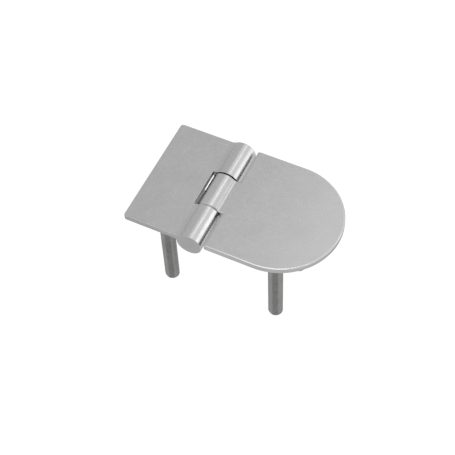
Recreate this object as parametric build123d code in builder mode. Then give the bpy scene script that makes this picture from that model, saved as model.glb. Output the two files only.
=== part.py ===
"""Asymmetric stud hinge: a square leaf and a longer, round-ended leaf that turn on one pin.

Both leaves are cast in stainless steel with their knuckles in one piece, and each carries two
threaded studs on its underside, so that the hinge bolts down with nothing showing on top.

Frame: +X runs from the square leaf to the round leaf, +Y along the pin and +Z up out of the leaves.
The origin lies midway between the square leaf's studs, on the plane that both leaves seat on.
Lengths are in millimetres.
"""
import os

from build123d import *

# Leaves
leaf_width = 50.0
leaf_thickness = 2.5
square_leaf_reach = 28.0  # pin axis to the straight outer edge
round_leaf_reach = 52.0  # pin axis to the tip of the round end
corner_radius = 1.2  # outer corners of the square leaf, in plan
square_edge_round = 0.3  # rim of the square leaf and ends of the outer knuckles, as cast
round_edge_round = 0.6  # top rim of the round leaf, eased by the polishing wheel
seat_chamfer = 0.2  # underside edge of the round leaf

# Knuckles
knuckle_diameter = 10.4
pin_depth = 3.3  # pin axis below the leaves' top faces
top_blend = 4.0  # hollow between the square leaf's top face and its knuckles
neck_blend = 1.8  # the same on the round leaf, tighter
bottom_blend = 1.0  # inner corner between an underside and its knuckle
slot_length = 17.0  # opening in the square leaf that takes the middle knuckle
knuckle_end_gap = 0.3  # each end of the middle knuckle
slot_clearance = 0.5  # slot's inner wall to the middle knuckle
leaf_clearance = 1.2  # round leaf's inner edge to the outer knuckles
slot_chamfer = 0.1  # edges of the slot, left almost sharp
knuckle_end_chamfer = 0.5  # ends of the middle knuckle, eased so that they run free in the slot
inner_ease_width = 0.8  # polished-off top edge of the round leaf beside the outer knuckles
inner_ease_depth = 0.3

# Pin
pin_diameter = 5.0
pin_clearance = 0.05  # radial, in the middle knuckle, which turns on the pin

# Studs
stud_diameter = 6.0
stud_length = 47.5  # underside of the leaf to the tip
stud_chamfer = 0.7
square_stud_edge_distance = 11.7  # stud axis to the leaf's end face, along the pin
round_stud_edge_distance = 13.2
square_stud_setback = 16.2  # pin axis to the square leaf's studs
round_stud_setback = 30.5  # pin axis to the round leaf's studs

# Places that follow from the sizes above
pin_x = square_stud_setback
pin_z = leaf_thickness - pin_depth
knuckle_radius = knuckle_diameter / 2
half_width = leaf_width / 2
square_stud_spacing = leaf_width - 2 * square_stud_edge_distance
round_stud_spacing = leaf_width - 2 * round_stud_edge_distance
slot_wall = knuckle_radius + slot_clearance
inner_edge = knuckle_radius + leaf_clearance
middle_knuckle_length = slot_length - 2 * knuckle_end_gap
round_centre_x = pin_x + round_leaf_reach - half_width  # the round end is a full half circle

# Section planes on the pin axis: local x runs out along the leaf, local y up
square_section = Plane(origin=(pin_x, 0, pin_z), x_dir=(-1, 0, 0), z_dir=(0, 1, 0))
round_section = Plane(origin=(pin_x, 0, pin_z), x_dir=(1, 0, 0), z_dir=(0, -1, 0))


def leaf_section(plane, reach, blend):
    """Section of a leaf across the pin: plate, knuckle and the two blends that join them."""
    with BuildSketch(plane) as section:
        with Locations(Location((0, 0, 0), (0, 0, 180))):
            Circle(knuckle_radius)
        with Locations((0, pin_depth - leaf_thickness)):
            Rectangle(reach, leaf_thickness, align=(Align.MIN, Align.MIN))
        top_join = section.vertices().sort_by(Axis.X)[:2].sort_by(Axis.Y)[1]
        fillet(top_join, radius=blend)
        underside_join = section.vertices().group_by(Axis.Y)[0].sort_by(Axis.X)[0]
        fillet(underside_join, radius=bottom_blend)
    return section.sketch


def is_outer_edge(edge):
    """True unless the edge runs along an inner corner."""
    return not edge.is_interior


# Square leaf: plate and both outer knuckles, one casting with a slot for the middle knuckle
with BuildPart() as square_leaf:
    extrude(leaf_section(square_section, square_leaf_reach, top_blend), amount=half_width, both=True)
    outer_face = square_leaf.faces().sort_by(Axis.X)[0]
    fillet(outer_face.edges().filter_by(Axis.Z), radius=corner_radius)
    rim_faces = square_leaf.faces().filter_by(Axis.Y) + square_leaf.faces().sort_by(Axis.X)[:1]
    fillet(rim_faces.edges().filter_by(Axis.Z, reverse=True), radius=square_edge_round)
    with BuildSketch(Plane.XY.offset(pin_z)) as slot:
        with Locations((pin_x - slot_wall, 0)):
            Rectangle(2 * slot_wall, slot_length, align=(Align.MIN, Align.CENTER))
    extrude(amount=knuckle_diameter, both=True, mode=Mode.SUBTRACT)
    slot_walls = square_leaf.faces(Select.LAST).filter_by(GeomType.PLANE).filter_by(Axis.Z, reverse=True)
    chamfer(slot_walls.edges().filter_by(is_outer_edge), length=slot_chamfer)
    with BuildSketch(square_section) as pin_bore:
        Circle(pin_diameter / 2)
    extrude(amount=half_width, both=True, mode=Mode.SUBTRACT)
square_leaf.part.label = "square_leaf"

# Round leaf: plate with a half-round end, and a neck that carries the middle knuckle
with BuildPart() as round_leaf:
    with BuildSketch() as plan:
        with BuildLine():
            near_side = Line((pin_x + inner_edge, -half_width), (round_centre_x, -half_width))
            round_end = RadiusArc(near_side @ 1, (round_centre_x, half_width), -half_width)
            far_side = Line(round_end @ 1, (pin_x + inner_edge, half_width))
            Line(far_side @ 1, near_side @ 0)
        make_face()
    extrude(amount=leaf_thickness)
    seat_outline, top_outline = (
        face.edges().filter_by(Axis.Y, reverse=True)
        for face in round_leaf.faces().filter_by(Axis.Z).sort_by(Axis.Z)
    )
    fillet(top_outline, radius=round_edge_round)
    chamfer(seat_outline, length=seat_chamfer)
    neck_section = leaf_section(round_section, inner_edge + leaf_thickness, neck_blend)
    extrude(neck_section, amount=middle_knuckle_length / 2, both=True)
    knuckle_ends = round_leaf.faces().filter_by(Axis.Y).sort_by(lambda f: abs(f.center().Y))[:2]
    chamfer(knuckle_ends.edges().filter_by(is_outer_edge), length=knuckle_end_chamfer)
    top_face = round_leaf.faces().filter_by(Axis.Z).sort_by(Axis.Z)[-1]
    inner_top_edges = top_face.edges().filter_by(Axis.Y).sort_by(Axis.X)[-2:]
    chamfer(inner_top_edges, length=inner_ease_width, length2=inner_ease_depth, reference=top_face)
    with BuildSketch(round_section) as turning_bore:
        Circle(pin_diameter / 2 + pin_clearance)
    extrude(amount=half_width, both=True, mode=Mode.SUBTRACT)
round_leaf.part.label = "round_leaf"

# Pin: pressed into the outer knuckles, its ends ground flush with them
with BuildPart() as hinge_pin:
    with BuildSketch(square_section) as pin_section:
        Circle(pin_diameter / 2)
    extrude(amount=half_width, both=True)
hinge_pin.part.label = "hinge_pin"

os.makedirs("parts", exist_ok=True)
export_step(square_leaf.part, "parts/square_leaf.step")
export_step(round_leaf.part, "parts/round_leaf.step")
export_step(hinge_pin.part, "parts/hinge_pin.step")

# Studs: welded by their flat heads to the undersides, two to a leaf
stud_rows = {
    "square_leaf": (0.0, square_stud_spacing),
    "round_leaf": (pin_x + round_stud_setback, round_stud_spacing),
}
stud_sides = {"near": -0.5, "far": 0.5}
for leaf, (row_x, spacing) in stud_rows.items():
    for side, share in stud_sides.items():
        with BuildPart() as stud:
            with BuildSketch() as stud_section:
                with Locations((row_x, share * spacing)):
                    Circle(stud_diameter / 2)
            extrude(amount=-stud_length)
            tip = stud.faces().sort_by(Axis.Z)[0]
            chamfer(tip.edges(), length=stud_chamfer)
        stud.part.label = f"{leaf}_stud_{side}"
        export_step(stud.part, f"parts/{leaf}_stud_{side}.step")
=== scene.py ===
import math

import bmesh
import bpy
from mathutils import Matrix, Vector


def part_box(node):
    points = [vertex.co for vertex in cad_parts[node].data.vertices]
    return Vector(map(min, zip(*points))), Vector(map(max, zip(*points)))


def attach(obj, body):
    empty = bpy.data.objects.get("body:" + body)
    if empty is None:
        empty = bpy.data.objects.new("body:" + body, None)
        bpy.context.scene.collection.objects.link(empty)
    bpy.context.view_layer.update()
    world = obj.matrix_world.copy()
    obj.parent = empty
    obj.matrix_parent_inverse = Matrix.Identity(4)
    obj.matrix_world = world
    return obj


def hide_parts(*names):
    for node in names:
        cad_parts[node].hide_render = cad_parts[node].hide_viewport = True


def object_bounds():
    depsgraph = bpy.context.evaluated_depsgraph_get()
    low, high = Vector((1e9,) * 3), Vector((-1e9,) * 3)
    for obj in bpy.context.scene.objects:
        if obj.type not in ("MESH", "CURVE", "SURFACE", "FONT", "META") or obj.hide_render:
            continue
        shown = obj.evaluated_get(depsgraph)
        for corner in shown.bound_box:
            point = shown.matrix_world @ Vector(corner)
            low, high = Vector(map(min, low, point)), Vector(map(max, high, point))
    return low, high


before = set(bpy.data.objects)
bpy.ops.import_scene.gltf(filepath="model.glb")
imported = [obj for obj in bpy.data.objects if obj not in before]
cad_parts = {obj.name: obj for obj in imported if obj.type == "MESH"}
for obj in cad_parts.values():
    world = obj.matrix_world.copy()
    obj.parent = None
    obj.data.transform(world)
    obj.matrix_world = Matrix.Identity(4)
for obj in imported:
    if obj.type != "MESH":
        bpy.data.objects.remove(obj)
cad_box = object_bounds()

# Square leaf: the short fixed half of the hinge, a plate with the two outer knuckles.
# It is one investment casting in stainless steel, vibration-finished and hand polished to an even satin,
# and it is held down by the two studs welded under it.
MM = 0.001
CASTING_GREY = (0.57, 0.57, 0.572, 1.0)
CASTING_ROUGHNESS = 0.24
GLANCING_TINT = (0.6, 0.6, 0.6, 1.0)  # satin mirrors less at a glancing angle than a polished face

CLOUD_SCALE = 95  # lumps to a metre, as in the next three
WAVE_SCALE = 420
GRAIN_SCALE = 5200
STROKE_SCALE = 3600
STROKE_TURN = math.radians(35)  # about the vertical
STROKE_STRETCH = 0.12  # scale along a stroke, as a share of that across it
NOISE_SPAN = (0.3, 0.7)  # noise keeps mostly between these

WAVE_WEAR = 0.03  # roughness either way, with the waviness
STROKE_WEAR = 0.035  # roughness either way, with the polishing strokes
SKIN_WEAR = 0.4  # roughness that a full skin adds
FINISH_RELIEF = 0.0014 * MM
WAVE_SHARE = 0.6  # of the relief, as in the next two
GRAIN_SHARE = 0.25
STROKE_SHARE = 0.15

# Parts of the normal between which a face passes for an end, a wall, a face at the seam or the fall of a
# knuckle
END_FACING = (0.0, 0.3)
WALL_FACING = (0.35, 0.05)
SEAM_FACING = (0.5, 0.9)
FALL_FACING = (0.3, 0.7)
RIM_SHADE_LIFTS = (5.8 * MM, 23.8 * MM)  # from the pin: the rims begin to be spared the painted shade, and are spared as far as Edge allows
KNUCKLE_SIDE = (7.8 * MM, 13.8 * MM)  # from the pin: the painted shade on the side of the middle knuckle fades, and is gone

pin_low, pin_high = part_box("hinge_pin")
pin_middle = (pin_low + pin_high) / 2


def new_group(name, inputs, outputs):
    """A shader node group with float or colour sockets, given as name and kind."""
    group = bpy.data.node_groups.new(name, "ShaderNodeTree")
    for socket_name, kind in inputs:
        group.interface.new_socket(socket_name, in_out="INPUT", socket_type=kind)
    for socket_name, kind in outputs:
        group.interface.new_socket(socket_name, in_out="OUTPUT", socket_type=kind)
    return group


def noise_on(tree, vector, scale, detail):
    """Noise at a scale in lumps to a metre; returns its value socket."""
    noise = tree.nodes.new("ShaderNodeTexNoise")
    noise.inputs["Scale"].default_value = scale
    noise.inputs["Detail"].default_value = detail
    tree.links.new(vector, noise.inputs["Vector"])
    return noise.outputs["Fac"]


def ranged(tree, value, low, high, span=NOISE_SPAN):
    """Maps the span of a value to low and high, and holds it there beyond the span."""
    start, end = span
    spread = tree.nodes.new("ShaderNodeMapRange")
    spread.inputs["From Min"].default_value = start
    spread.inputs["From Max"].default_value = end
    spread.inputs["To Min"].default_value = low
    spread.inputs["To Max"].default_value = high
    tree.links.new(value, spread.inputs["Value"])
    return spread.outputs["Result"]


def math_on(tree, operation, first, second=0.0):
    """A Math node on two sockets or numbers; returns its result."""
    node = tree.nodes.new("ShaderNodeMath")
    node.operation = operation
    for socket, value in zip(node.inputs, (first, second)):
        if isinstance(value, bpy.types.NodeSocket):
            tree.links.new(value, socket)
        else:
            socket.default_value = value
    return node.outputs["Value"]


# Satin finish of worked steel: cloudy tone, wandering roughness, fine grain and a faint hand-worked waviness.
# Skin and shade is how much darker and rougher the ends, the walls and the underside are made: partly the
# dull cast skin that the polishing wheel doesn't reach, and partly painted shade on the sides and in the
# gaps.
# Edge is how far the rims at the ends are spared that darkening: 0 leaves them dark, 0.5 spares half a turn.
# Close to the knuckles the rims keep their painted shade, which lifts little by little along the leaf, so the
# rim's highlight is painted fainter near the joint.
# Seam side is the way along X, 1 or -1, that the faces at the joint between knuckle and leaf look.
# Cut and seam light is how much of the darkening is taken off there: 1 takes all of it, as a cutter clears
# the skin, and more paints light on these faces, brighter than the polished tops, so that the dark seam reads
# lighter.
# Knuckle shade is painted shade on the side where the knuckle falls into its own leaf, which dims its
# highlight.
satin = new_group(
    "satin_steel_with_painted_shade",
    [
        ("Colour", "NodeSocketColor"),
        ("Roughness", "NodeSocketFloat"),
        ("Clouding", "NodeSocketFloat"),
        ("Skin", "NodeSocketFloat"),
        ("Edge", "NodeSocketFloat"),
        ("Seam side", "NodeSocketFloat"),
        ("Cut and seam light", "NodeSocketFloat"),
        ("Knuckle shade", "NodeSocketFloat"),
    ],
    [("Colour", "NodeSocketColor"), ("Roughness", "NodeSocketFloat"), ("Height", "NodeSocketFloat")],
)
satin_in = satin.nodes.new("NodeGroupInput")
satin_out = satin.nodes.new("NodeGroupOutput")
coordinates = satin.nodes.new("ShaderNodeTexCoord")
place = coordinates.outputs["Object"]
brushing = satin.nodes.new("ShaderNodeMapping")
brushing.inputs["Rotation"].default_value = (0.0, 0.0, STROKE_TURN)
brushing.inputs["Scale"].default_value = (STROKE_STRETCH, 1.0, 1.0)
satin.links.new(place, brushing.inputs["Vector"])
clouds = noise_on(satin, place, CLOUD_SCALE, detail=3)
waves = noise_on(satin, place, WAVE_SCALE, detail=2)
grain = noise_on(satin, place, GRAIN_SCALE, detail=2)
strokes = noise_on(satin, brushing.outputs["Vector"], STROKE_SCALE, detail=3)

where = satin.nodes.new("ShaderNodeSeparateXYZ")
satin.links.new(place, where.inputs["Vector"])
from_pin = math_on(satin, "SUBTRACT", where.outputs["X"], pin_middle.x)
facing = satin.nodes.new("ShaderNodeSeparateXYZ")
satin.links.new(coordinates.outputs["Normal"], facing.inputs["Vector"])

endwise = math_on(satin, "ABSOLUTE", facing.outputs["Y"])
# Painted shade kept on the rims near the joint, which makes their highlight fainter there
rim_spared_share = ranged(satin, from_pin, 0.0, 1.0, RIM_SHADE_LIFTS)
spared_rim = math_on(satin, "MULTIPLY", satin_in.outputs["Edge"], rim_spared_share)
past_edge = math_on(satin, "SUBTRACT", endwise, spared_rim)
ends = ranged(satin, past_edge, 0.0, 1.0, END_FACING)
walls = ranged(satin, facing.outputs["Z"], 0.0, 1.0, WALL_FACING)
# Painted shade: the ends, walls and undersides are darkened by the way they face, besides their duller skin
dull_and_shaded_faces = math_on(satin, "MAXIMUM", ends, walls)
skin_and_shade_by_facing = math_on(satin, "MULTIPLY", dull_and_shaded_faces, satin_in.outputs["Skin"])

# Painted light on the faces at the joint, which lightens the dark seam between knuckle and leaf
towards_joint = math_on(satin, "MULTIPLY", facing.outputs["X"], satin_in.outputs["Seam side"])
seam_faces = ranged(satin, towards_joint, 0.0, 1.0, SEAM_FACING)
cut_skin_and_seam_light = math_on(satin, "MULTIPLY", seam_faces, satin_in.outputs["Cut and seam light"])
left_after_seam_light = math_on(satin, "SUBTRACT", 1.0, cut_skin_and_seam_light)
skin_shade_and_seam_light = math_on(satin, "MULTIPLY", skin_and_shade_by_facing, left_after_seam_light)

# Painted shade on the side of the middle knuckle that falls into its leaf, which dims its highlight there
by_knuckle = ranged(satin, from_pin, 1.0, 0.0, KNUCKLE_SIDE)
falling = ranged(satin, facing.outputs["X"], 0.0, 1.0, FALL_FACING)
knuckle_fall = math_on(satin, "MULTIPLY", by_knuckle, falling)
knuckle_shade = math_on(satin, "MULTIPLY", knuckle_fall, satin_in.outputs["Knuckle shade"])
skin_and_painted_light = math_on(satin, "ADD", skin_shade_and_seam_light, knuckle_shade)

clouding = math_on(satin, "MULTIPLY", ranged(satin, clouds, -1, 1), satin_in.outputs["Clouding"])
shade = math_on(satin, "SUBTRACT", math_on(satin, "ADD", clouding, 1.0), skin_and_painted_light)
tone = satin.nodes.new("ShaderNodeMix")
tone.data_type = "RGBA"
tone.blend_type = "MULTIPLY"
tone.inputs["Factor"].default_value = 1.0
satin.links.new(satin_in.outputs["Colour"], tone.inputs["A"])
satin.links.new(shade, tone.inputs["B"])
satin.links.new(tone.outputs["Result"], satin_out.inputs["Colour"])

wave_wear = ranged(satin, waves, -WAVE_WEAR, WAVE_WEAR)
stroke_wear = ranged(satin, strokes, -STROKE_WEAR, STROKE_WEAR)
worn = math_on(satin, "ADD", wave_wear, stroke_wear)
dulled = math_on(satin, "MULTIPLY", skin_and_painted_light, SKIN_WEAR)
rough = math_on(satin, "ADD", math_on(satin, "ADD", satin_in.outputs["Roughness"], worn), dulled)
satin.links.new(rough, satin_out.inputs["Roughness"])

wave_height = ranged(satin, waves, 0.0, WAVE_SHARE)
grain_height = ranged(satin, grain, 0.0, GRAIN_SHARE)
stroke_height = ranged(satin, strokes, 0.0, STROKE_SHARE)
height = math_on(satin, "ADD", wave_height, math_on(satin, "ADD", grain_height, stroke_height))
satin.links.new(height, satin_out.inputs["Height"])


def satin_metal(
    name, colour, roughness, clouding=0.03, skin_and_painted_light=0.0, edge=0.0, seam_side=0.0, cut_and_seam_light=0.0, knuckle_shade=0.0
):
    """A bare metal with the satin finish, with its painted shade and painted light."""
    material = bpy.data.materials.new(name)
    material.use_nodes = True
    tree = material.node_tree
    shader = tree.nodes["Principled BSDF"]
    shader.inputs["Metallic"].default_value = 1.0
    shader.inputs["Specular Tint"].default_value = GLANCING_TINT
    finish = tree.nodes.new("ShaderNodeGroup")
    finish.node_tree = satin
    finish.inputs["Colour"].default_value = colour
    finish.inputs["Roughness"].default_value = roughness
    finish.inputs["Clouding"].default_value = clouding
    finish.inputs["Skin"].default_value = skin_and_painted_light
    finish.inputs["Edge"].default_value = edge
    finish.inputs["Seam side"].default_value = seam_side
    finish.inputs["Cut and seam light"].default_value = cut_and_seam_light
    finish.inputs["Knuckle shade"].default_value = knuckle_shade
    bump = tree.nodes.new("ShaderNodeBump")
    bump.inputs["Distance"].default_value = FINISH_RELIEF
    bump.inputs["Strength"].default_value = 1.0
    tree.links.new(finish.outputs["Colour"], shader.inputs["Base Color"])
    tree.links.new(finish.outputs["Roughness"], shader.inputs["Roughness"])
    tree.links.new(finish.outputs["Height"], bump.inputs["Height"])
    tree.links.new(bump.outputs["Normal"], shader.inputs["Normal"])
    return material


def dress(node, material):
    """Gives a solid of the frame its finish."""
    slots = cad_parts[node].data.materials
    slots.clear()
    slots.append(material)


# Painted shade on the square leaf's ends, walls and underside, and painted light on its faces at the joint
square_finish = satin_metal(
    "square_leaf_casting", CASTING_GREY, CASTING_ROUGHNESS, skin_and_painted_light=0.34, seam_side=1.0, cut_and_seam_light=0.7
)
dress("square_leaf", square_finish)

# Round leaf: the long swinging half, a plate with a half-round end and the middle knuckle.
# It is cast and polished like the square leaf, with a fuller rounding along its rim,
# and its knuckle turns on the pin between the outer two.
ROUND_LEAF_GREY = (0.58, 0.58, 0.582, 1.0)
# Painted shade on the round leaf's ends, walls, underside and knuckle side, less of it on the rim away from
# the joint, and painted light on its faces at the joint
round_finish = satin_metal(
    "round_leaf_casting",
    ROUND_LEAF_GREY,
    CASTING_ROUGHNESS,
    skin_and_painted_light=0.26,
    edge=0.55,
    seam_side=-1.0,
    cut_and_seam_light=2.2,
    knuckle_shade=0.24,
)
dress("round_leaf", round_finish)

# Hinge pin: a ground stainless rod pressed into the outer knuckles.
# Its ends are cut off and ground flush with the knuckle ends, and carry the same painted shade, so they
# hardly show.
PIN_GREY = (0.55, 0.55, 0.555, 1.0)
PIN_ROUGHNESS = 0.28
# Painted shade on the pin's ends, as on the knuckle ends
dress("hinge_pin", satin_metal("ground_pin", PIN_GREY, PIN_ROUGHNESS, skin_and_painted_light=0.32))

# Studs: four M6 studs of dull drawn stainless with rolled threads, two to a leaf.
# Each is welded by its plain head to the underside, and its tip is chamfered to lead into a nut.
THREAD_PITCH = 1.0 * MM
THREAD_DEPTH = 0.61 * MM
THREAD_STEPS = 40  # facets to one turn
TIP_CHAMFER = 0.7 * MM
PLAIN_HEAD = 1.6 * MM  # unthreaded length under the leaf
RUN_OUT = 1.2 * MM  # length over which the thread fades into the head
MERGE_DISTANCE = 0.001 * MM  # turns of the thread that meet within this are one
STUD_GREY = (0.26, 0.257, 0.255, 1.0)
STUD_ROUGHNESS = 0.30
# One turn of the profile, as share of the pitch and share of the thread's depth: flat root, flank, flat crest
THREAD_PROFILE = ((0.0, 0.0), (0.25, 0.0), (0.5625, 1.0), (0.6875, 1.0))

stud_metal = satin_metal("rolled_stud", STUD_GREY, STUD_ROUGHNESS, clouding=0.08)


def threaded_stud(name, node, body):
    """A stud with a true rolled thread in place of the plain solid of the frame."""
    low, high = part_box(node)
    radius = (high.x - low.x) / 2
    core = radius - THREAD_DEPTH
    length = high.z - low.z
    bm = bmesh.new()
    turns = math.ceil(length / THREAD_PITCH) + 1
    line = []
    for turn in range(-1, turns):
        for along, depth in THREAD_PROFILE:
            line.append(bm.verts.new((core + depth * THREAD_DEPTH, 0, (turn + along) * THREAD_PITCH)))
    edges = [bm.edges.new(pair) for pair in zip(line, line[1:])]
    bmesh.ops.spin(
        bm,
        geom=line + edges,
        cent=(0, 0, 0),
        axis=(0, 0, 1),
        dvec=(0, 0, THREAD_PITCH / THREAD_STEPS),
        angle=math.tau,
        steps=THREAD_STEPS,
    )
    for level, side in ((0.0, -1), (length, 1)):
        bmesh.ops.bisect_plane(
            bm,
            geom=bm.verts[:] + bm.edges[:] + bm.faces[:],
            plane_co=(0, 0, level),
            plane_no=(0, 0, side),
            clear_outer=True,
        )
    bmesh.ops.remove_doubles(bm, verts=bm.verts, dist=MERGE_DISTANCE)
    bmesh.ops.holes_fill(bm, edges=[edge for edge in bm.edges if edge.is_boundary])
    mean_radius = core + THREAD_DEPTH / 2
    run_out_start = length - PLAIN_HEAD - RUN_OUT
    for vert in bm.verts:
        out = vert.co.xy.length
        fade = min(max((vert.co.z - run_out_start) / RUN_OUT, 0.0), 1.0)
        wanted = out + (mean_radius - out) * fade
        wanted = min(wanted, radius - TIP_CHAMFER + vert.co.z)
        vert.co.xy = vert.co.xy * (wanted / out)
    bmesh.ops.translate(bm, verts=bm.verts, vec=((low.x + high.x) / 2, (low.y + high.y) / 2, low.z))
    bmesh.ops.recalc_face_normals(bm, faces=bm.faces)
    mesh = bpy.data.meshes.new(name)
    bm.to_mesh(mesh)
    bm.free()
    for face in mesh.polygons:
        face.use_smooth = len(face.vertices) == 4
    mesh.materials.append(stud_metal)
    stud = bpy.data.objects.new(name, mesh)
    bpy.context.scene.collection.objects.link(stud)
    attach(stud, body)
    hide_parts(node)


for leaf, body in (("square_leaf", "fixed_leaf"), ("round_leaf", "swing_leaf")):
    for side in ("near", "far"):
        threaded_stud(f"{leaf}_threaded_stud_{side}", f"{leaf}_stud_{side}", body)

# Studio floor: a plain white sweep under the hinge.
# Seen by the camera or in the metal it is white, and it still takes the hinge's soft shadow.
FLOOR_SIZE = 6.0
FLOOR_DROP = 10 * MM  # room for the round leaf's studs, which reach lowest when it is folded down
FLOOR_WHITE = (0.30, 0.30, 0.30, 1.0)
FLOOR_GLOW = 0.82


def background_ray(tree):
    """1 for rays that see the background: from the camera, off metal or through glass."""
    path = tree.nodes.new("ShaderNodeLightPath")
    seen = math_on(tree, "MAXIMUM", path.outputs["Is Camera Ray"], path.outputs["Is Glossy Ray"])
    return math_on(tree, "MAXIMUM", seen, path.outputs["Is Transmission Ray"])


floor_mesh = bpy.data.meshes.new("studio_floor")
bm = bmesh.new()
bmesh.ops.create_grid(bm, x_segments=1, y_segments=1, size=FLOOR_SIZE / 2)
bmesh.ops.translate(bm, verts=bm.verts, vec=(0, 0, cad_box[0].z - FLOOR_DROP))
bm.to_mesh(floor_mesh)
bm.free()
floor = bpy.data.objects.new("studio_floor", floor_mesh)
bpy.context.scene.collection.objects.link(floor)

floor_white = bpy.data.materials.new("floor_white")
floor_white.use_nodes = True
floor_tree = floor_white.node_tree
floor_shader = floor_tree.nodes["Principled BSDF"]
floor_shader.inputs["Base Color"].default_value = FLOOR_WHITE
floor_shader.inputs["Roughness"].default_value = 1.0
floor_shader.inputs["Specular IOR Level"].default_value = 0.0
floor_shader.inputs["Emission Color"].default_value = (1.0, 1.0, 1.0, 1.0)
floor_glow = math_on(floor_tree, "MULTIPLY", background_ray(floor_tree), FLOOR_GLOW)
floor_tree.links.new(floor_glow, floor_shader.inputs["Emission Strength"])
floor_mesh.materials.append(floor_white)

# Studio light: a white room that fills every side evenly, and three soft lamps.
# A low softbox on the right draws the broad white band along the knuckles, a slim one behind draws the
# thin line beside it, and a large one above the camera lights the rim of the round leaf.
ROOM_FILL = 0.75
world = bpy.data.worlds.new("white_room")
bpy.context.scene.world = world
world.use_nodes = True
room = world.node_tree
background = room.nodes["Background"]
background.inputs["Color"].default_value = (1.0, 1.0, 1.0, 1.0)
seen_white = background_ray(room)
brightness = math_on(room, "ADD", math_on(room, "MULTIPLY", seen_white, 1.0 - ROOM_FILL), ROOM_FILL)
room.links.new(brightness, background.inputs["Strength"])


def softbox(name, direction, distance, width, height, watts):
    """A rectangular lamp that faces the knuckles from a direction, at a distance in metres."""
    lamp = bpy.data.lights.new(name, "AREA")
    lamp.shape = "RECTANGLE"
    lamp.size = width
    lamp.size_y = height
    lamp.energy = watts
    box = bpy.data.objects.new(name, lamp)
    towards = Vector(direction).normalized()
    box.matrix_world = Matrix.LocRotScale(
        pin_middle + towards * distance, towards.to_track_quat("Z", "Y"), None
    )
    bpy.context.scene.collection.objects.link(box)


softbox("right_softbox", (0.819, 0.505, 0.271), distance=0.8, width=0.18, height=0.5, watts=0.25)
softbox("slim_softbox", (0.175, 0.505, 0.845), distance=0.8, width=0.07, height=0.5, watts=0.11)
softbox("front_softbox", (0.105, -0.5, 0.86), distance=0.85, width=0.9, height=0.9, watts=1.9)

# Grey cards: a pale one curved over the left, which the flat tops mirror, and a dark one that stands low
# in front, which the studs mirror. They are matt boards bent round the hinge, and only the metal shows them.
CARD_STEPS = 24
LEFT_CARD_GREY = 0.675
LEFT_CARD_RADIUS = 1.0
LEFT_CARD_FROM = math.radians(-95)  # from upright, about the pin
LEFT_CARD_TO = math.radians(-13.5)
LEFT_CARD_SIDES = (0.25, 1.1)  # along the pin
FRONT_CARD_GREY = 0.25
FRONT_CARD_RADIUS = 1.2
FRONT_CARD_FROM = math.radians(-112)  # from +X, about the vertical
FRONT_CARD_TO = math.radians(-36)
FRONT_CARD_LEVELS = (-0.045, 0.21)  # above the pin


def grey_card(name, edge, axis, sweep, grey):
    """A board of one grey, swept from its first edge, that shows in reflections and nowhere else."""
    bm = bmesh.new()
    corners = [bm.verts.new(pin_middle + Vector(corner)) for corner in edge]
    bmesh.ops.spin(
        bm,
        geom=corners + [bm.edges.new(corners)],
        cent=pin_middle,
        axis=axis,
        angle=sweep,
        steps=CARD_STEPS,
    )
    mesh = bpy.data.meshes.new(name)
    bm.to_mesh(mesh)
    bm.free()
    board = bpy.data.materials.new(name)
    board.use_nodes = True
    shader = board.node_tree.nodes["Principled BSDF"]
    shader.inputs["Base Color"].default_value = (0.0, 0.0, 0.0, 1.0)
    shader.inputs["Specular IOR Level"].default_value = 0.0
    shader.inputs["Emission Color"].default_value = (grey, grey, grey, 1.0)
    shader.inputs["Emission Strength"].default_value = 1.0
    mesh.materials.append(board)
    card = bpy.data.objects.new(name, mesh)
    card.visible_camera = False
    card.visible_diffuse = False
    card.visible_shadow = False
    bpy.context.scene.collection.objects.link(card)


left_x = LEFT_CARD_RADIUS * math.sin(LEFT_CARD_FROM)
left_z = LEFT_CARD_RADIUS * math.cos(LEFT_CARD_FROM)
left_edge = [(left_x, side, left_z) for side in LEFT_CARD_SIDES]
grey_card("left_card", left_edge, (0, 1, 0), LEFT_CARD_TO - LEFT_CARD_FROM, LEFT_CARD_GREY)

front_x = FRONT_CARD_RADIUS * math.cos(FRONT_CARD_FROM)
front_y = FRONT_CARD_RADIUS * math.sin(FRONT_CARD_FROM)
front_edge = [(front_x, front_y, level) for level in FRONT_CARD_LEVELS]
grey_card("front_card", front_edge, (0, 0, 1), FRONT_CARD_TO - FRONT_CARD_FROM, FRONT_CARD_GREY)

# Camera: the photograph's viewpoint, above the near side and turned a little to the right.
# Its place, its turn and its lens were fitted to the outline of the hinge in the photograph.
CAMERA_FROM_PIN = Vector((141.65, -256.85, 397.7)) * MM
CAMERA_TURN = math.radians(28.21)
CAMERA_HEIGHT = math.radians(55.01)
CAMERA_ROLL = math.radians(-3.04)
PHOTO_PIXELS = 455
FOCAL_PIXELS = 1262.3

camera_data = bpy.data.cameras.new("photo_camera")
camera_data.sensor_width = 36.0
camera_data.lens = camera_data.sensor_width * FOCAL_PIXELS / PHOTO_PIXELS
camera_data.clip_start = 0.01
camera_data.clip_end = 50.0
camera = bpy.data.objects.new("photo_camera", camera_data)
camera.matrix_world = (
    Matrix.Translation(pin_middle + CAMERA_FROM_PIN)
    @ Matrix.Rotation(CAMERA_TURN, 4, "Z")
    @ Matrix.Rotation(math.radians(90) - CAMERA_HEIGHT, 4, "X")
    @ Matrix.Rotation(CAMERA_ROLL, 4, "Z")
)
bpy.context.scene.collection.objects.link(camera)
bpy.context.scene.camera = camera
bpy.context.scene.view_settings.view_transform = "Standard"
